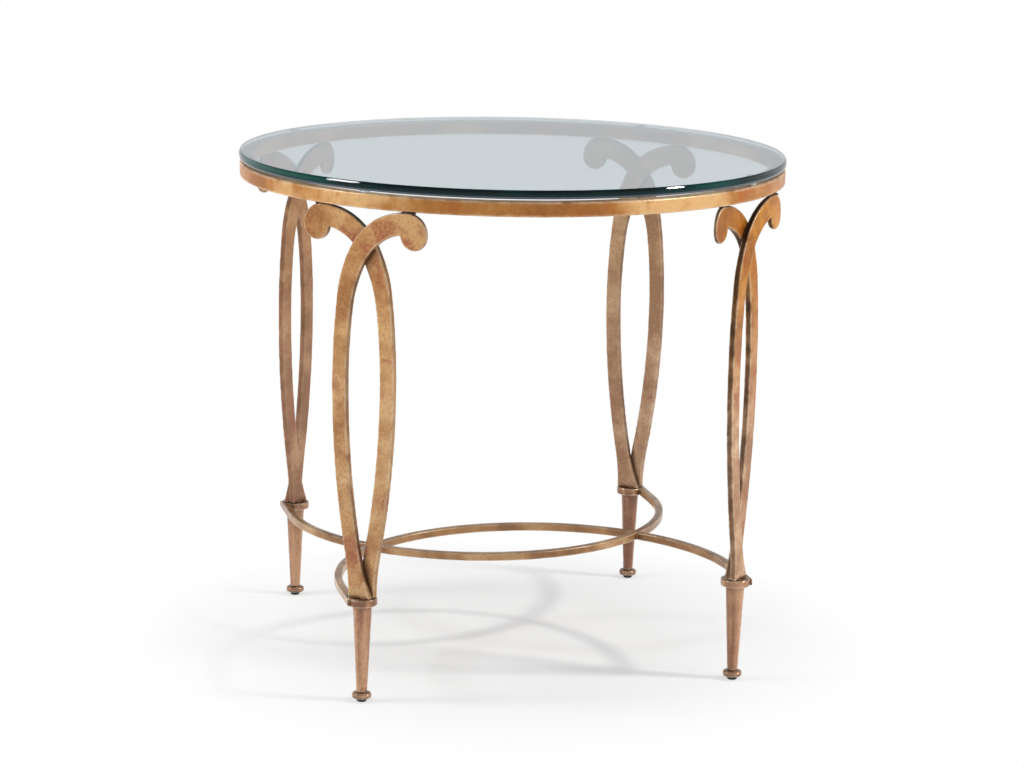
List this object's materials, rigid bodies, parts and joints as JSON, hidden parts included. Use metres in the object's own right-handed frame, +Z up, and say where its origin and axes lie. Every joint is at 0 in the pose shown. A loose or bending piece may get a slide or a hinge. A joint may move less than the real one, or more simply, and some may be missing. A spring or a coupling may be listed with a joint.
{
  "type": "round lamp table",
  "caption": "Round occasional table: a loose clear glass disc on a gilded wrought-iron stand with lapped scroll-ended legs, a square-bar apron ring and crossed curved stretchers.",
  "frame": {"origin": "on the floor, under the middle of the glass", "axes": "+Z up the axis of the table; X and Y square to the stand, so that the legs are on the diagonals; the stretcher that runs through opens towards +Y"},
  "size_m": [0.6604, 0.6604, 0.6096],
  "materials": {
    "gilt_iron": "antique gold, mottled with reddish brown, worn bright on the edges",
    "weld_bead": "rough, dark gold brown",
    "clear_glass": "polished, green at the edge",
    "clear_bumper": "clear, soft",
    "black_glide": "black, matt"
  },
  "bodies": {
    "stand": {"apron_ring": "gilt_iron", "back_left_bumper": "clear_bumper", "back_left_bun_foot": "gilt_iron", "back_left_collar": "gilt_iron", "back_left_glide": "black_glide", "back_left_inner_crook": "gilt_iron", "back_left_leg_stub": "gilt_iron", "back_left_outer_crook": "gilt_iron", "back_right_bumper": "clear_bumper", "back_right_bun_foot": "gilt_iron", "back_right_collar": "gilt_iron", "back_right_glide": "black_glide", "back_right_inner_crook": "gilt_iron", "back_right_leg_stub": "gilt_iron", "back_right_outer_crook": "gilt_iron", "back_stretcher": "gilt_iron", "crook_foot_welds": "weld_bead", "crossing_welds": "weld_bead", "front_left_bumper": "clear_bumper", "front_left_bun_foot": "gilt_iron", "front_left_collar": "gilt_iron", "front_left_glide": "black_glide", "front_left_inner_crook": "gilt_iron", "front_left_leg_stub": "gilt_iron", "front_left_outer_crook": "gilt_iron", "front_right_bumper": "clear_bumper", "front_right_bun_foot": "gilt_iron", "front_right_collar": "gilt_iron", "front_right_glide": "black_glide", "front_right_inner_crook": "gilt_iron", "front_right_leg_stub": "gilt_iron", "front_right_outer_crook": "gilt_iron", "front_stretcher_left_end": "gilt_iron", "front_stretcher_middle": "gilt_iron", "front_stretcher_right_end": "gilt_iron", "scroll_welds": "weld_bead", "stretcher_end_welds": "weld_bead"},
    "glass": {"glass_top": "clear_glass"}
  },
  "joints": [
    {"name": "glass_lift", "type": "slide", "parent": "stand", "child": "glass", "axis": [0, 0, 1], "range_m": [0, 0.1]}
  ]
}
